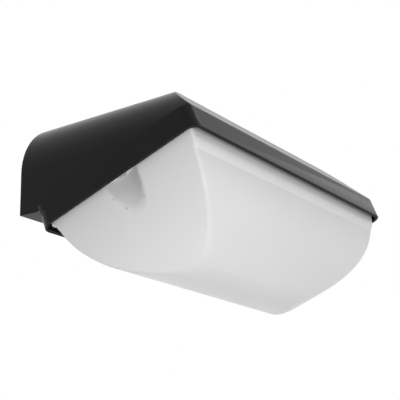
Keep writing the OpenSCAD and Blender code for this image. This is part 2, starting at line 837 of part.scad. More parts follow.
module wire(s, shade) {
    sides = 8;
    rings = 20;
    r = wire_d / 2;
    points = [for (i = [0:rings]) let (
        t = i / rings,
        p = wire_point(s, t),
        along = unit(wire_point(s, min(1, t + 0.02)) - wire_point(s, max(0, t - 0.02))),
        side = unit(cross([0, 0, 1], along)),
        up = cross(along, side)
    ) for (k = [0:sides - 1]) p + r * (side * cos(360 * k / sides) + up * sin(360 * k / sides))];
    faces = concat(
        [[for (k = [0:sides - 1]) k]],
        [[for (k = [sides - 1:-1:0]) rings * sides + k]],
        [for (i = [0:rings - 1]) for (k = [0:sides - 1]) let (n = (k + 1) % sides)
            [i * sides + k, (i + 1) * sides + k, (i + 1) * sides + n]],
        [for (i = [0:rings - 1]) for (k = [0:sides - 1]) let (n = (k + 1) % sides)
            [i * sides + k, (i + 1) * sides + n, i * sides + n]]
    );
    color(shade) on_rim() polyhedron(points, faces);
}

module live_wire() { wire(-1, [0.45, 0.25, 0.15]); }
module neutral_wire() { wire(1, [0.20, 0.35, 0.70]); }

module cable_clamp() {
    z = tray_z - post_h - clamp_t;
    color(white) on_rim() translate([clamp_x, -lamp_v, z]) difference() {
        translate([0, -clamp_w / 2, 0]) cube([clamp_l, clamp_w, clamp_t]);
        translate([-overcut, 0, clamp_t + 2]) rotate([0, 90, 0])
            cylinder(d = cable_d, h = clamp_l + 2 * overcut);
        for (s = [-1, 1]) translate([clamp_l / 2, s * clamp_pitch / 2, -overcut])
            cylinder(d = tray_screw_d, h = clamp_t + 2 * overcut);
    }
}

module clamp_screws() {
    color(zinc) on_rim() on_clamp_screws(tray_z - post_h - clamp_t)
        pan_screw(pilot_d, small_head_d, small_head_h, clamp_t + post_h - 0.5);
}

housing();
rim_seal();
screw_inserts();
cable_grommet();
fixing_washers();
diffuser();
screw_washers();
bowl_screw_left();
retaining_clip_left();
bowl_screw_right();
retaining_clip_right();
reflector_tray();
tray_screws();
lampholder_bracket();
bracket_screws();
lampholder_body();
lampholder_shell();
centre_contact();
side_contact();
lampholder_screws();
lamp_tip();
lamp_cap();
lamp_bulb();
terminal_block();
terminal_tubes();
terminal_screw_1();
terminal_screw_2();
terminal_screw_3();
terminal_screw_4();
terminal_fixing_screw();
live_wire();
neutral_wire();
cable_clamp();
clamp_screws();
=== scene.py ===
# Studio scene of a wedge-shaped porch light with an opal bowl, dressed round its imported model.
import json
import math

import bmesh
import bpy
import numpy as np
from mathutils import Matrix, Vector


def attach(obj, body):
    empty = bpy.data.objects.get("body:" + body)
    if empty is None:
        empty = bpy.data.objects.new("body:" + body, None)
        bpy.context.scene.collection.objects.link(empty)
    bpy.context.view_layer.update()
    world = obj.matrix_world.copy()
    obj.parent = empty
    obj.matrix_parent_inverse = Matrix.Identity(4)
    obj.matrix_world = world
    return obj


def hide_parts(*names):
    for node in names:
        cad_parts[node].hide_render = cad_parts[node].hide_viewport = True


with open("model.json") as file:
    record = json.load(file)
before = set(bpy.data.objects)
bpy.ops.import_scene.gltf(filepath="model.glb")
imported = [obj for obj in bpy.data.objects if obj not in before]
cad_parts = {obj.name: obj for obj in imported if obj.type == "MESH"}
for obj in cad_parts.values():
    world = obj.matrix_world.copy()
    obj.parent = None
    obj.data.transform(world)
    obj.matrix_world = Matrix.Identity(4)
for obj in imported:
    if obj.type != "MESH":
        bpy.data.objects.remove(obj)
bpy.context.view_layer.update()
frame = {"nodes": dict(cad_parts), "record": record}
nodes = frame["nodes"]
scene = bpy.context.scene
MM = 0.001

# Sizes of the light, in millimetres and degrees, as its model has them
BODY_W = 330.0
BODY_WALL = 3.0
RIM_TILT = math.radians(21.6)
RIM_L = 159.0
RIM_BACK = 23.0
RIM_Z = -57.5
UNDERSIDE_Z = -42.0
LAMP_V = 80.0

# The rim's own frame: x along the wall, v outwards along the lip, h up into the body
V_DIR = np.array([0.0, -math.cos(RIM_TILT), math.sin(RIM_TILT)])
H_DIR = np.array([0.0, math.sin(RIM_TILT), math.cos(RIM_TILT)])
X_DIR = np.array([1.0, 0.0, 0.0])
RIM_ORIGIN = np.array([0.0, -RIM_BACK, RIM_Z])


def from_rim(points):
    """Points (x, v, h) in the rim's frame, in millimetres, as metres in the model's frame."""
    points = np.asarray(points, float)
    rows = RIM_ORIGIN + points[..., :1] * X_DIR + points[..., 1:2] * V_DIR + points[..., 2:3] * H_DIR
    return rows * MM


# Camera: found by lining up the straight edges of the body
def make_camera():
    place = Vector((-0.8225, -0.5987, -0.2858))
    yaw = 0.998
    pitch = 0.282
    roll = -0.015
    focal_pixels = 1134.2
    frame_pixels = 400.0
    look = Vector((math.cos(pitch) * math.sin(yaw), math.cos(pitch) * math.cos(yaw), math.sin(pitch)))
    right = look.cross(Vector((0, 0, 1))).normalized()
    up = right.cross(look)
    right, up = (
        math.cos(roll) * right + math.sin(roll) * up,
        math.cos(roll) * up - math.sin(roll) * right,
    )
    data = bpy.data.cameras.new("camera")
    data.sensor_width = 36.0
    data.lens = focal_pixels / frame_pixels * data.sensor_width
    data.clip_start = 0.01
    data.clip_end = 50.0
    camera = bpy.data.objects.new("camera", data)
    scene.collection.objects.link(camera)
    turn = Matrix((right, up, -look)).transposed()
    camera.matrix_world = Matrix.Translation(place) @ turn.to_4x4()
    scene.camera = camera


# Material helpers
def new_material(name):
    material = bpy.data.materials.new(name)
    material.use_nodes = True
    tree = material.node_tree
    shader = tree.nodes["Principled BSDF"]
    return material, tree, shader


def add_node(tree, kind, **inputs):
    node = tree.nodes.new(kind)
    for name, value in inputs.items():
        node.inputs[name.replace("_", " ")].default_value = value
    return node


def object_coordinates(tree):
    return tree.nodes.new("ShaderNodeTexCoord").outputs["Object"]


def noise(tree, scale, detail=2.0, roughness=0.5, stretch=(1, 1, 1)):
    """A noise in the model's own metres; scale is in features per metre."""
    mapping = tree.nodes.new("ShaderNodeMapping")
    mapping.inputs["Scale"].default_value = stretch
    tree.links.new(object_coordinates(tree), mapping.inputs["Vector"])
    texture = add_node(tree, "ShaderNodeTexNoise", Scale=scale, Detail=detail, Roughness=roughness)
    tree.links.new(mapping.outputs["Vector"], texture.inputs["Vector"])
    return texture.outputs["Fac"]


def spread(tree, value, low, high, from_low=0.3, from_high=0.7):
    """The value mapped to the range low to high."""
    node = tree.nodes.new("ShaderNodeMapRange")
    node.inputs["From Min"].default_value = from_low
    node.inputs["From Max"].default_value = from_high
    node.inputs["To Min"].default_value = low
    node.inputs["To Max"].default_value = high
    tree.links.new(value, node.inputs["Value"])
    return node.outputs["Result"]


def mix_colors(tree, value, first, second):
    ramp = tree.nodes.new("ShaderNodeMix")
    ramp.data_type = "RGBA"
    ramp.inputs["A"].default_value = (*first, 1)
    ramp.inputs["B"].default_value = (*second, 1)
    tree.links.new(value, ramp.inputs["Factor"])
    return ramp.outputs["Result"]


def bump(tree, shader, height, strength, distance):
    node = tree.nodes.new("ShaderNodeBump")
    node.inputs["Strength"].default_value = strength
    node.inputs["Distance"].default_value = distance
    tree.links.new(height, node.inputs["Height"])
    tree.links.new(node.outputs["Normal"], shader.inputs["Normal"])


def dress_shader(tree, shader, tones, patches, gloss, marks, grain, relief):
    """Colour between two tones, roughness between two values and a fine relief, each from its own noise."""
    shade = mix_colors(tree, spread(tree, patches, 0, 1), *tones)
    tree.links.new(shade, shader.inputs["Base Color"])
    tree.links.new(spread(tree, marks, *gloss), shader.inputs["Roughness"])
    bump(tree, shader, grain, *relief)


def body_plastic():
    """Dark moulded plastic with a fine satin grain."""
    material, tree, shader = new_material("body_plastic")
    dress_shader(
        tree,
        shader,
        tones=((0.0060, 0.0060, 0.0057), (0.0075, 0.0075, 0.0071)),
        patches=noise(tree, 14.0, 3.0),
        gloss=(0.21, 0.26),
        marks=noise(tree, 90.0, 4.0, 0.6),
        grain=noise(tree, 2600.0, 2.0),
        relief=(0.10, 0.00005),
    )
    shader.inputs["Specular IOR Level"].default_value = 0.6
    shader.inputs["IOR"].default_value = 1.2
    return material


def opal_plastic():
    """Milky translucent plastic with a smooth surface."""
    material, tree, shader = new_material("opal_plastic")
    dress_shader(
        tree,
        shader,
        tones=((0.75, 0.75, 0.76), (0.77, 0.77, 0.775)),
        patches=noise(tree, 9.0, 2.0),
        gloss=(0.29, 0.33),
        marks=noise(tree, 60.0, 3.0),
        grain=noise(tree, 35.0, 1.0),
        relief=(0.03, 0.0003),
    )
    shader.inputs["Subsurface Weight"].default_value = 0.35
    shader.inputs["Subsurface Radius"].default_value = (1.0, 0.98, 0.95)
    shader.inputs["Subsurface Scale"].default_value = 0.004
    shader.inputs["IOR"].default_value = 1.49
    return material


def plain_plastic(name, color, roughness, grain=1500.0):
    """Moulded plastic or rubber with a fine grain."""
    material, tree, shader = new_material(name)
    dress_shader(
        tree,
        shader,
        tones=(tuple(c * 0.94 for c in color), color),
        patches=noise(tree, 60.0, 3.0),
        gloss=(roughness - 0.04, roughness + 0.04),
        marks=noise(tree, 200.0, 2.0),
        grain=noise(tree, grain, 2.0),
        relief=(0.08, 0.00004),
    )
    return material


def metal(name, color, roughness, brush=(1, 1, 1), grain=900.0):
    """Plated or bare metal; brush stretches its fine marks along an axis."""
    material, tree, shader = new_material(name)
    dress_shader(
        tree,
        shader,
        tones=(tuple(c * 0.9 for c in color), color),
        patches=noise(tree, 120.0, 3.0),
        gloss=(roughness * 0.75, roughness * 1.25),
        marks=noise(tree, grain, 3.0, 0.6, brush),
        grain=noise(tree, grain, 2.0, 0.5, brush),
        relief=(0.05, 0.00003),
    )
    shader.inputs["Metallic"].default_value = 1.0
    return material


def glaze(name, color):
    """Glazed ceramic with a slow ripple."""
    material, tree, shader = new_material(name)
    dress_shader(
        tree,
        shader,
        tones=(tuple(c * 0.97 for c in color), color),
        patches=noise(tree, 40.0, 2.0),
        gloss=(0.10, 0.16),
        marks=noise(tree, 80.0, 2.0),
        grain=noise(tree, 150.0, 2.0),
        relief=(0.05, 0.0001),
    )
    shader.inputs["Coat Weight"].default_value = 0.3
    return material


MATERIALS = {
    "body": body_plastic(),
    "bowl": opal_plastic(),
    "rubber": plain_plastic("rubber", (0.035, 0.035, 0.037), 0.72, 2200.0),
    "screw": metal("screw_chrome", (0.82, 0.83, 0.85), 0.10),
    "zinc": metal("zinc_plate", (0.62, 0.63, 0.66), 0.38, (1, 6, 1)),
    "brass": metal("brass", (0.78, 0.58, 0.27), 0.21),
    "porcelain": glaze("porcelain", (0.86, 0.84, 0.79)),
    "tray": plain_plastic("tray_white", (0.80, 0.80, 0.79), 0.42),
    "lamp_cap": metal("lamp_cap_nickel", (0.74, 0.74, 0.75), 0.22),
    "lamp_bulb": plain_plastic("lamp_frost", (0.86, 0.86, 0.84), 0.35, 900.0),
    "terminal": plain_plastic("terminal_nylon", (0.74, 0.73, 0.69), 0.45),
    "live_wire": plain_plastic("live_insulation", (0.16, 0.055, 0.02), 0.45),
    "neutral_wire": plain_plastic("neutral_insulation", (0.02, 0.08, 0.32), 0.45),
}
NODE_SLOT = {part["node"]: part["material_slot"] for part in frame["record"]["subparts"]}


WELD = 0.000002


def soften(piece, width, segments=2, angle=35.0):
    """Breaks the sharp edges of a piece by a small round of that width, in millimetres."""
    weld = piece.modifiers.new("weld", "WELD")
    weld.merge_threshold = WELD
    merge = piece.modifiers.new("merge_flats", "DECIMATE")
    merge.decimate_type = "DISSOLVE"
    merge.angle_limit = math.radians(0.3)
    round_off = piece.modifiers.new("edge_round", "BEVEL")
    round_off.width = width * MM
    round_off.segments = segments
    round_off.limit_method = "ANGLE"
    round_off.angle_limit = math.radians(angle)
    round_off.harden_normals = False
    normals = piece.modifiers.new("even_normals", "WEIGHTED_NORMAL")
    normals.keep_sharp = False


def dress_nodes():
    """Gives every node of the model the material of its slot."""
    for name, piece in nodes.items():
        piece.data.materials.clear()
        piece.data.materials.append(MATERIALS[NODE_SLOT[name]])
        for polygon in piece.data.polygons:
            polygon.material_index = 0


dress_nodes()


def link_mesh(name, mesh):
    """A new piece from a bmesh, which is freed."""
    bmesh.ops.recalc_face_normals(mesh, faces=mesh.faces)
    data = bpy.data.meshes.new(name)
    mesh.to_mesh(data)
    mesh.free()
    piece = bpy.data.objects.new(name, data)
    scene.collection.objects.link(piece)
    return piece


def bake_modifiers(piece):
    """Replaces a piece's mesh by what its modifiers make of it."""
    bpy.context.view_layer.update()
    made = bpy.data.meshes.new_from_object(piece.evaluated_get(bpy.context.evaluated_depsgraph_get()))
    if not made.polygons:
        raise ValueError(piece.name + " has no faces left")
    piece.modifiers.clear()
    piece.data = made


def apply_tool(piece, tool, operation, crossed=False):
    """Joins tool to a piece, or cuts it out, and takes the tool away.

    crossed is for a tool whose parts run through each other.
    """
    boolean = piece.modifiers.new("boolean", "BOOLEAN")
    boolean.operation = operation
    boolean.solver = "EXACT"
    boolean.use_self = crossed
    boolean.object = tool
    bake_modifiers(piece)
    bpy.data.objects.remove(tool)


# The housing: its own mesh again, with the two back corners of its rim rounded below the underside
CORNER_R = 12.5
CORNER_WALL = 1.5
HOUSING_EDGE = 0.8


def prism(name, plan, low, level):
    """A prism over plan, a list of (x, v), from the height low up to a level plane."""
    rows = [(x, v, low) for x, v in plan]
    rows += [(x, v, (level - RIM_Z - v * math.sin(RIM_TILT)) / math.cos(RIM_TILT)) for x, v in plan]
    mesh = bmesh.new()
    corners = [mesh.verts.new(row) for row in from_rim(rows)]
    count = len(plan)
    mesh.faces.new(corners[:count])
    mesh.faces.new(corners[count:])
    for i in range(count):
        j = (i + 1) % count
        mesh.faces.new((corners[i], corners[j], corners[count + j], corners[count + i]))
    return link_mesh(name, mesh)


def arc(x, v, r, start, end, count=17):
    """Points (x, v) of an arc, with its angles in degrees."""
    angles = [math.radians(a) for a in np.linspace(start, end, count)]
    return [(x + r * math.cos(a), v + r * math.sin(a)) for a in angles]


def make_housing():
    """A web of material is joined inside each back corner before its outside is rounded."""
    mesh = bmesh.new()
    mesh.from_mesh(nodes["housing"].data)
    bmesh.ops.remove_doubles(mesh, verts=mesh.verts, dist=WELD)
    for face in mesh.faces:
        face.smooth = True
    housing = link_mesh("housing_moulded", mesh)
    housing.data.materials.append(MATERIALS["body"])
    half = BODY_W / 2
    in_wall = BODY_WALL / 2
    past = 2.0
    inner = arc(half - CORNER_R, CORNER_R, CORNER_R - CORNER_WALL, -80, -10)
    web = inner + [(half - in_wall, inner[-1][1]), (half - in_wall, in_wall), (inner[0][0], in_wall)]
    waste = arc(half - CORNER_R, CORNER_R, CORNER_R, -90, 0)
    waste += [(half + past, CORNER_R), (half + past, -past), (half - CORNER_R, -past)]
    for side in (-1, 1):
        for plan, low, level, operation in (
            (web, 0.05, UNDERSIDE_Z + past, "UNION"),
            (waste, -1.0, UNDERSIDE_Z, "DIFFERENCE"),
        ):
            tool = prism("corner_tool", [(side * x, v) for x, v in plan], low, level)
            apply_tool(housing, tool, operation)
    soften(housing, HOUSING_EDGE)
    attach(housing, "base")
    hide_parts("housing")


make_housing()


# The bowl: an outline of distances whose edges are rounded, meshed on a grid and drawn onto its surface
BOWL_WALL = 2.5
FLANGE_Z = 6.5
FLANGE_TOP = 9.5
FLANGE_IN = 3.5
FLANGE_R = 6.5
FLANGE_ROUND = 0.6
FLANGE_FILLET = 0.8
FLANGE_SUNK = 1.0
SKIRT_SIDE = 5.0
SKIRT_BACK = 11.5
SKIRT_FRONT = 8.5
SKIRT_DEPTH = 7.2
SKIRT_LEAN = 0.2
SKIRT_FOOT = 0.7
FOOT_REACH = 6.0
SKIRT_R = 1.5
NECK_IN = 6.0
NECK_FRONT = 7.0
NECK_Z = 1.0
END_R = 98.5
END_X = BODY_W / 2 - 100.2
END_Z = 30.5
FRONT_R = 71.9
FRONT_V = 77.7
FRONT_Z = 5.9
BELLY_R = 86.0
BELLY_V = 86.4
BELLY_Z = 20.6
BACK_R = 60.2
BACK_SLOPE = math.radians(34.7)
POCKET_R = 15.7
POCKET_X = BODY_W / 2 - 2.3
POCKET_V = 81.0
SCREW_X = BODY_W / 2 - 9.4
SCREW_BORE_R = 2.05
EDGE_ROUND = 2.2
SKIRT_ROUND = 1.5
POCKET_ROUND = 2.4
LEAST_ROUND = 1.0
LEAST_SKIRT_R = 0.5
GRID_STEP = 1.25


def round_meet(a, b, r):
    """Where two solids meet, with their common edge rounded off by r."""
    return np.minimum(-r, np.maximum(a, b)) + np.hypot(np.maximum(a + r, 0), np.maximum(b + r, 0))


def round_join(a, b, r):
    """Two solids together, with the corner between them filled by r."""
    return -round_meet(-a, -b, r)


def plan_distance(x, v, side, back, front, r):
    """Distance from a rounded rectangle that lies inside the rim by those margins."""
    half_x = BODY_W / 2 - side
    middle = (back + RIM_L - front) / 2
    half_v = (RIM_L - front - back) / 2
    dx = np.abs(x) - (half_x - r)
    dv = np.abs(v - middle) - (half_v - r)
    return np.hypot(np.maximum(dx, 0), np.maximum(dv, 0)) + np.minimum(np.maximum(dx, dv), 0) - r


def slab_distance(h, low, high):
    """Distance from a level slab between two heights."""
    return np.abs(h - (high + low) / 2) - (high - low) / 2


def bowl_distance(x, v, h, inset):
    """The bowl below the lip as one solid, shrunk by inset."""
    back_v = BELLY_V - (BELLY_R - BACK_R) * math.sin(BACK_SLOPE)
    back_z = BELLY_Z - (BELLY_R - BACK_R) * math.cos(BACK_SLOPE)
    split = BELLY_V - BELLY_R * math.sin(BACK_SLOPE)
    belly = np.hypot(v - BELLY_V, h - BELLY_Z) - (BELLY_R - inset)
    back = np.hypot(v - back_v, h - back_z) - (BACK_R - inset)
    under = np.where((v < split) | (h > back_z) & (v < back_v), back, belly)
    front = np.hypot(v - FRONT_V, h - FRONT_Z) - (FRONT_R - inset)
    across = np.maximum(np.abs(x) - END_X, 0)
    ends = np.hypot(across, h - END_Z) - (END_R - inset)
    skirt_r = max(SKIRT_R - inset, LEAST_SKIRT_R)
    plan = plan_distance(x, v, SKIRT_SIDE + inset, SKIRT_BACK + inset, SKIRT_FRONT + inset, skirt_r)
    below = -(h + SKIRT_DEPTH - inset)
    wall = (plan + SKIRT_LEAN * below) / math.hypot(1, SKIRT_LEAN)
    foot = (plan + SKIRT_FOOT * below) / math.hypot(1, SKIRT_FOOT)
    skirt = np.maximum(round_meet(wall, foot, SKIRT_ROUND), below - FOOT_REACH)
    sweep = np.maximum(np.maximum(front, under), wall)
    return round_meet(np.minimum(sweep, skirt), ends, max(EDGE_ROUND - inset, LEAST_ROUND))


def diffuser_distance(x, v, h):
    """The whole bowl: shell, neck and flange, less its pockets, hollow and screw holes."""
    side = np.abs(x)
    outer = np.maximum(bowl_distance(x, v, h, 0.0), h - FLANGE_Z - FLANGE_SUNK)
    flange_plan = plan_distance(x, v, FLANGE_IN, FLANGE_IN, FLANGE_IN, FLANGE_R)
    flange = round_meet(flange_plan, slab_distance(h, FLANGE_Z, FLANGE_TOP), FLANGE_ROUND)
    pocket = np.hypot(side - POCKET_X, v - POCKET_V)
    hollow = np.maximum(bowl_distance(x, v, h, BOWL_WALL), BOWL_WALL + POCKET_R - pocket)
    neck_plan = plan_distance(x, v, NECK_IN, NECK_IN, NECK_FRONT, FLANGE_R)
    neck = np.maximum(neck_plan, slab_distance(h, NECK_Z, FLANGE_TOP))
    shell = round_join(np.minimum(outer, neck), flange, FLANGE_FILLET)
    shell = round_meet(shell, -np.maximum(pocket - POCKET_R, h - FLANGE_Z), POCKET_ROUND)
    shell = np.maximum(shell, -hollow)
    bore = np.hypot(side - SCREW_X, v - POCKET_V) - SCREW_BORE_R
    return np.maximum(shell, -bore)


def surface_of(distance, low, high, step):
    """Quads of the surface where distance is nought, each point moved onto it."""
    axes = [np.arange(low[i] - 2 * step, high[i] + 3 * step, step) for i in range(3)]
    grid = np.meshgrid(*axes, indexing="ij")
    inside = distance(*grid) < 0
    corners = sum(
        inside[i : i - 1 or None, j : j - 1 or None, k : k - 1 or None].astype(np.int8)
        for i in (0, 1)
        for j in (0, 1)
        for k in (0, 1)
    )
    mixed = (corners > 0) & (corners < 8)
    index = -np.ones(mixed.shape, int)
    index[mixed] = np.arange(mixed.sum())
    cells = np.argwhere(mixed)
    points = np.stack([axes[i][0] + (cells[:, i] + 0.5) * step for i in range(3)], -1)
    for _ in range(12):
        points += np.clip(way_to_surface(distance, points), -step, step) * 0.8
    rings = []
    for axis in range(3):
        b, c = (axis + 1) % 3, (axis + 2) % 3
        first = np.take(inside, range(inside.shape[axis] - 1), axis)
        second = np.take(inside, range(1, inside.shape[axis]), axis)
        edges = np.argwhere(first != second)
        flip = first[tuple(edges.T)]
        ring = []
        for db, dc in ((0, 0), (1, 0), (1, 1), (0, 1)):
            cell = edges.copy()
            cell[:, b] -= db
            cell[:, c] -= dc
            ring.append(index[tuple(cell.T)])
        ring = np.stack(ring, -1)
        ring[flip] = ring[flip][:, ::-1]
        rings.append(ring)
    faces = np.concatenate(rings)
    return even_out(distance, points, faces, step), faces


def even_out(distance, points, faces, step, rounds=4):
    """The points slid along the surface towards the middle of their neighbours, away from sharp edges."""
    pull = 0.6
    sharp_slope, smooth_slope = 0.93, 0.98
    ends = np.concatenate([faces, np.roll(faces, 1, axis=1)]).ravel()
    starts = np.concatenate([np.roll(faces, 1, axis=1), faces]).ravel()
    count = np.bincount(starts, minlength=len(points))[:, None]
    for _ in range(rounds):
        total = np.stack([np.bincount(starts, points[ends, i], len(points)) for i in range(3)], -1)
        _, slope = value_and_slope(distance, points, 0.5 * step)
        size = np.linalg.norm(slope, axis=-1, keepdims=True)
        normal = slope / np.maximum(size, 1e-6)
        move = total / np.maximum(count, 1) - points
        move -= (move * normal).sum(-1, keepdims=True) * normal
        points = points + pull * move * np.clip((size - sharp_slope) / (smooth_slope - sharp_slope), 0, 1)
        for _ in range(4):
            points = points + way_to_surface(distance, points)
    return points


def way_to_surface(distance, points):
    """The move of each point along the slope that brings it onto the surface."""
    least_slope_squared = 0.25
    value, slope = value_and_slope(distance, points)
    return -value[:, None] * slope / np.maximum((slope**2).sum(-1, keepdims=True), least_slope_squared)


def value_and_slope(distance, points, reach=0.05):
    """The distance at each point and its slope, taken over reach either way."""
    value = distance(points[:, 0], points[:, 1], points[:, 2])
    slope = np.empty_like(points)
    for axis in range(3):
        ahead, behind = points.copy(), points.copy()
        ahead[:, axis] += reach
        behind[:, axis] -= reach
        slope[:, axis] = (distance(*ahead.T) - distance(*behind.T)) / (2 * reach)
    return value, slope


def mesh_piece(name, points, faces, material):
    """A smooth-shaded piece from points in metres."""
    mesh = bpy.data.meshes.new(name)
    mesh.from_pydata([tuple(p) for p in points], [], [tuple(int(i) for i in f) for f in faces])
    mesh.materials.append(material)
    mesh.polygons.foreach_set("use_smooth", [True] * len(mesh.polygons))
    mesh.update()
    piece = bpy.data.objects.new(name, mesh)
    scene.collection.objects.link(piece)
    return piece


def make_bowl():
    """The surface of diffuser_distance, shaded by its own slope."""
    deepest = -68.0
    low = (-BODY_W / 2 + FLANGE_IN, FLANGE_IN, deepest)
    high = (BODY_W / 2 - FLANGE_IN, RIM_L - FLANGE_IN, FLANGE_TOP)
    points, faces = surface_of(diffuser_distance, low, high, GRID_STEP)
    bowl = mesh_piece("opal_bowl", from_rim(points), faces, MATERIALS["bowl"])
    _, slope = value_and_slope(diffuser_distance, points, reach=0.35)
    normals = slope[:, :1] * X_DIR + slope[:, 1:2] * V_DIR + slope[:, 2:] * H_DIR
    normals /= np.maximum(np.linalg.norm(normals, axis=-1, keepdims=True), 1e-6)
    bowl.data.normals_split_custom_set_from_vertices([tuple(n) for n in normals])
    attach(bowl, "diffuser")
    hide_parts("diffuser")


make_bowl()


# Turned and threaded pieces: rings of points along an axis, with a helical wave where there is a thread
LAMP_PITCH = 3.629
SHELL_BACK = 50.0
SHELL_FRONT = 24.5
CAP_FRONT = 26.0
CAP_BACK = 50.0
BULB_R = 30.0
BULB_X = -28.0
CAP_R = 13.0
SHELL_R = 13.3
SCREW_TIP = 20.5
SCREW_HEAD_Z = 5.3


def along_x(a, b, z):
    """A point beside the lamp's axis: z is the distance along the wall."""
    return np.stack([z, LAMP_V - a, b], -1)


def along_bowl_screw(side):
    """A placing function beside the axis of a bowl screw: z is the height above the lip."""

    def place(a, b, z):
        return np.stack([side * SCREW_X + a, POCKET_V - b, z], -1)

    return place


def turned(name, place, outline, material, around=64, wave=None):
    """A piece turned from outline, a list of (z, r); wave(z, angle) is added to the radius."""
    z = np.array([row[0] for row in outline], float)[:, None]
    r = np.array([row[1] for row in outline], float)[:, None]
    angle = np.linspace(0, 2 * math.pi, around, endpoint=False)[None, :]
    full_r = r + (wave(z, angle) if wave else 0.0)
    rows = place(full_r * np.cos(angle), full_r * np.sin(angle), z + 0 * angle)
    points = rows.reshape(-1, 3)
    faces = []
    for i in range(len(outline) - 1):
        for j in range(around):
            k = (j + 1) % around
            faces.append((i * around + j, i * around + k, (i + 1) * around + k, (i + 1) * around + j))
    closed = outline[0] == outline[-1]
    if not closed:
        faces.append(tuple(reversed(range(around))))
        faces.append(tuple((len(outline) - 1) * around + j for j in range(around)))
    piece = mesh_piece(name, from_rim(points), faces, material)
    tidy_mesh(piece, closed)
    return piece


def tidy_mesh(piece, merge_ends):
    """Joins doubled points and turns every face outwards."""
    mesh = bmesh.new()
    mesh.from_mesh(piece.data)
    if merge_ends:
        bmesh.ops.remove_doubles(mesh, verts=mesh.verts, dist=1e-7)
    bmesh.ops.recalc_face_normals(mesh, faces=mesh.faces)
    mesh.to_mesh(piece.data)
    mesh.free()


def fade(z, start, end, run):
    """Nought outside start to end, one inside, with an even run up at each end."""
    return np.clip(np.minimum(z - start, end - z) / run, 0, 1)


def lamp_thread(start, end, depth):
    """A rounded screw thread for turned(), cut depth deep on either side of its mean radius."""

    def wave(z, angle):
        return depth * (np.cos(angle - 2 * math.pi * z / LAMP_PITCH) - 1) * fade(z, start, end, 1.5)

    return wave


def steps(start, end, size):
    """Even steps from start to end, of about that size."""
    return np.linspace(start, end, max(2, round(abs(end - start) / size) + 1))


def make_lamp():
    """The threaded cap, and the bulb whose neck runs into its round end."""
    r = CAP_R
    outline = [(CAP_FRONT, 11.0), (CAP_FRONT, r - 0.35), (CAP_FRONT + 0.35, r)]
    outline += [(z, r) for z in steps(CAP_FRONT + 1.2, CAP_BACK - 3.4, LAMP_PITCH / 12)]
    outline += [(CAP_BACK - 2.6, r - 0.8), (CAP_BACK - 0.6, 9.8), (CAP_BACK - 0.2, 9.2), (CAP_BACK, 8.4)]
    wave = lamp_thread(CAP_FRONT + 2.0, CAP_BACK - 3.2, 0.55)
    cap = turned("lamp_cap_threaded", along_x, outline, MATERIALS["lamp_cap"], 72, wave)
    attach(cap, "lamp")
    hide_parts("lamp_cap")

    join = math.radians(50)
    join_point = np.array([BULB_X + BULB_R * math.cos(join), BULB_R * math.sin(join)])
    start = np.array([CAP_FRONT, CAP_R - 0.2])
    bend_1 = start + np.array([-16, 0.5])
    bend_2 = join_point + 14 * np.array([math.sin(join), -math.cos(join)])
    neck = []
    for t in np.linspace(0, 1, 25):
        u = 1 - t
        neck.append(start * u**3 + bend_1 * 3 * u * u * t + bend_2 * 3 * u * t * t + join_point * t**3)
    outline = [tuple(point) for point in neck]
    for angle in np.linspace(join, math.pi, 49)[1:]:
        outline.append((BULB_X + BULB_R * math.cos(angle), max(BULB_R * math.sin(angle), 0.02)))
    bulb = turned("lamp_bulb_frosted", along_x, outline, MATERIALS["lamp_bulb"], 96)
    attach(bulb, "lamp")
    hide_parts("lamp_bulb")


def make_shell():
    """The rolled brass sleeve in the lampholder, whose thread matches the lamp's."""
    wall = 0.4
    mouth = SHELL_FRONT + 0.5
    inner = [(z, SHELL_R) for z in steps(mouth, SHELL_BACK - 1.0, LAMP_PITCH / 12)]
    floor = [(SHELL_BACK + 0.6, SHELL_R), (SHELL_BACK + 0.6, SHELL_R - 2), (SHELL_BACK + 1.0, SHELL_R - 2)]
    outer = [(z, SHELL_R + wall) for z in steps(SHELL_BACK + 1.0, mouth, LAMP_PITCH / 12)]
    outline = inner + floor + outer + inner[:1]
    wave = lamp_thread(mouth + 0.5, SHELL_BACK - 1.0, 0.55)
    shell = turned("shell_threaded", along_x, outline, MATERIALS["brass"], 72, wave)
    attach(shell, "base")
    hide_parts("lampholder_shell")


def make_bowl_screw(side, name):
    """A domed cross-head screw with its thread, and the cross cut into its head."""
    pitch = 0.7
    depth = 0.22
    head_r = 4.5
    head_h = 2.6
    dome_r = 8.1
    shank_r = 2.0
    thread_z = 10.6
    bottom = SCREW_HEAD_Z - head_h
    dome = np.linspace(0.02, head_r - 0.25, 14)
    outline = [(bottom + dome_r - math.sqrt(dome_r**2 - r * r), r) for r in dome]
    edge = outline[-1][0]
    outline += [(edge + 0.1, head_r - 0.08), (edge + 0.3, head_r)]
    outline += [(SCREW_HEAD_Z - 0.1, head_r), (SCREW_HEAD_Z, head_r - 0.1)]
    outline += [(SCREW_HEAD_Z, shank_r + 0.2), (SCREW_HEAD_Z + 0.2, shank_r), (thread_z - 0.2, shank_r)]
    outline += [(z, shank_r) for z in steps(thread_z, SCREW_TIP - 1.0, pitch / 8)]
    outline += [(SCREW_TIP - 0.1, 1.35), (SCREW_TIP, 1.2)]

    def wave(z, angle):
        turns = angle / (2 * math.pi) - z / pitch
        saw = np.abs(2 * (turns - np.floor(turns)) - 1)
        return -2 * depth * saw * fade(z, thread_z, SCREW_TIP - 0.6, 0.7)

    place = along_bowl_screw(side)
    screw = turned(name + "_cut", place, outline, MATERIALS["screw"], 48, wave)
    centre = place(np.array(0.0), np.array(0.0), np.array(bottom - 0.5))
    apply_tool(screw, cross_cutter(name + "_cross", centre), "DIFFERENCE", crossed=True)
    sharpen(screw, 32.0)
    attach(screw, name)
    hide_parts(name)


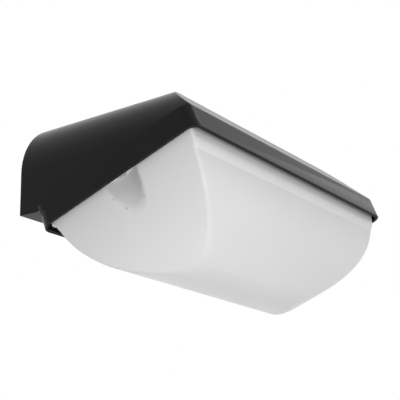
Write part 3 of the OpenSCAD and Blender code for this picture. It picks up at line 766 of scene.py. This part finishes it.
def cross_cutter(name, centre):
    """A tapered cross that points into the head from a point just below it."""
    depth = 2.3
    half_w = 0.62
    mesh = bmesh.new()
    for turn in (0.0, math.pi / 2):
        rows = []
        for h, reach, half in ((0.0, 2.75, half_w + 0.12), (depth, 1.1, half_w * 0.55)):
            for a, b in ((-reach, -half), (reach, -half), (reach, half), (-reach, half)):
                x = a * math.cos(turn) - b * math.sin(turn)
                v = a * math.sin(turn) + b * math.cos(turn)
                rows.append(from_rim(centre + np.array([x, v, h])))
        corners = [mesh.verts.new(row) for row in rows]
        for loop in ((0, 1, 2, 3), (7, 6, 5, 4), (0, 4, 5, 1), (1, 5, 6, 2), (2, 6, 7, 3), (3, 7, 4, 0)):
            mesh.faces.new([corners[i] for i in loop])
    return link_mesh(name, mesh)


def sharpen(piece, angle):
    """Marks the edges that turn by more than angle as sharp, and smooths the rest."""
    mesh = bmesh.new()
    mesh.from_mesh(piece.data)
    for face in mesh.faces:
        face.smooth = True
    for edge in mesh.edges:
        edge.smooth = edge.calc_face_angle(0.0) < math.radians(angle)
    mesh.to_mesh(piece.data)
    mesh.free()


def make_wires():
    """Round insulated wires that ease from the lampholder up to their terminals."""
    start_x, end_x = 58.0, 101.0
    bend_x, bend_l = 68.0, 20.0
    near, far = 4.5, 7.0
    rise = 25.0
    wire_r = 1.2
    for side, node, name, slot in (
        (-1, "live_wire", "live_wire_round", "live_wire"),
        (1, "neutral_wire", "neutral_wire_round", "neutral_wire"),
    ):
        curve = bpy.data.curves.new(name, "CURVE")
        curve.dimensions = "3D"
        curve.bevel_depth = wire_r * MM
        curve.bevel_resolution = 6
        curve.use_fill_caps = True
        spline = curve.splines.new("POLY")
        places = []
        for t in np.linspace(0, 1, 49):
            x = start_x + (end_x - start_x) * t
            u = min(1.0, max(0.0, (x - bend_x) / bend_l))
            ease = u * u * (3 - 2 * u)
            places.append((x, LAMP_V - side * (near + (far - near) * ease), rise * ease))
        spline.points.add(len(places) - 1)
        for point, place in zip(spline.points, from_rim(places)):
            point.co = (*place, 1)
        curve.materials.append(MATERIALS[slot])
        wire = bpy.data.objects.new(name, curve)
        scene.collection.objects.link(wire)
        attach(wire, "base")
        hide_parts(node)


make_lamp()
make_shell()
make_bowl_screw(-1, "bowl_screw_left")
make_bowl_screw(1, "bowl_screw_right")
make_wires()


# Studio: pale floor, white surroundings and soft lamps. A lamp is its name, place, target, size and watts.
AMBIENT = 0.555
FLOOR_Z = -0.9
FLOOR_HALF = 3.0
LAMPS = (
    ("key", (0.5, -1.8, -0.15), (0, -0.08, 0), (1.3, 0.9), 2.5),
    ("top", (0.0, -0.5, 1.3), (0, -0.08, 0), (1.4, 1.0), 1.5),
    ("low_left", (-0.37, -0.34, -0.34), (-0.14, -0.14, -0.1), (0.2, 0.15), 0.22),
    ("edge", (-0.58, -0.85, -0.2), (-0.13, -0.15, -0.08), (0.07, 0.36), 0.8),
    ("low_corner", (-0.26, -0.45, -0.40), (-0.10, -0.14, -0.1), (0.14, 0.14), 0.37),
    ("under", (0.1, -0.3, -0.8), (0.05, -0.12, -0.1), (0.7, 0.3), 0.9),
)


def sees_background(tree):
    """One for the rays of the camera, of reflections and through clear pieces, nought for the rest."""
    path = tree.nodes.new("ShaderNodeLightPath")
    total = path.outputs["Is Camera Ray"]
    for ray in ("Is Glossy Ray", "Is Transmission Ray"):
        highest = tree.nodes.new("ShaderNodeMath")
        highest.operation = "MAXIMUM"
        tree.links.new(total, highest.inputs[0])
        tree.links.new(path.outputs[ray], highest.inputs[1])
        total = highest.outputs["Value"]
    return total


def make_world():
    world = bpy.data.worlds.new("studio")
    world.use_nodes = True
    scene.world = world
    tree = world.node_tree
    tree.nodes.clear()
    output = tree.nodes.new("ShaderNodeOutputWorld")
    mix = tree.nodes.new("ShaderNodeMixShader")
    tree.links.new(sees_background(tree), mix.inputs["Fac"])
    for socket, strength in ((1, AMBIENT), (2, 1.0)):
        background = tree.nodes.new("ShaderNodeBackground")
        background.inputs["Color"].default_value = (1, 1, 1, 1)
        background.inputs["Strength"].default_value = strength
        tree.links.new(background.outputs["Background"], mix.inputs[socket])
    tree.links.new(mix.outputs["Shader"], output.inputs["Surface"])


def make_floor():
    corners = [(FLOOR_HALF * a, FLOOR_HALF * b, FLOOR_Z) for a, b in ((-1, -1), (1, -1), (1, 1), (-1, 1))]
    material, tree, shader = new_material("floor")
    shade = mix_colors(tree, spread(tree, noise(tree, 4.0), 0, 1), (0.84, 0.84, 0.84), (0.87, 0.87, 0.87))
    tree.links.new(shade, shader.inputs["Base Color"])
    shader.inputs["Roughness"].default_value = 0.9
    mesh = bpy.data.meshes.new("floor")
    mesh.from_pydata(corners, [], [(0, 1, 2, 3)])
    mesh.materials.append(material)
    floor = bpy.data.objects.new("floor", mesh)
    scene.collection.objects.link(floor)


def area_lamp(name, place, target, size, power):
    data = bpy.data.lights.new(name, "AREA")
    data.shape = "RECTANGLE"
    data.size, data.size_y = size
    data.energy = power
    lamp = bpy.data.objects.new(name, data)
    lamp.location = place
    aim = Vector(target) - Vector(place)
    lamp.rotation_euler = aim.to_track_quat("-Z", "Y").to_euler()
    lamp.visible_camera = False
    scene.collection.objects.link(lamp)


make_world()
make_floor()
for lamp_row in LAMPS:
    area_lamp(*lamp_row)
make_camera()
scene.view_settings.view_transform = "Standard"
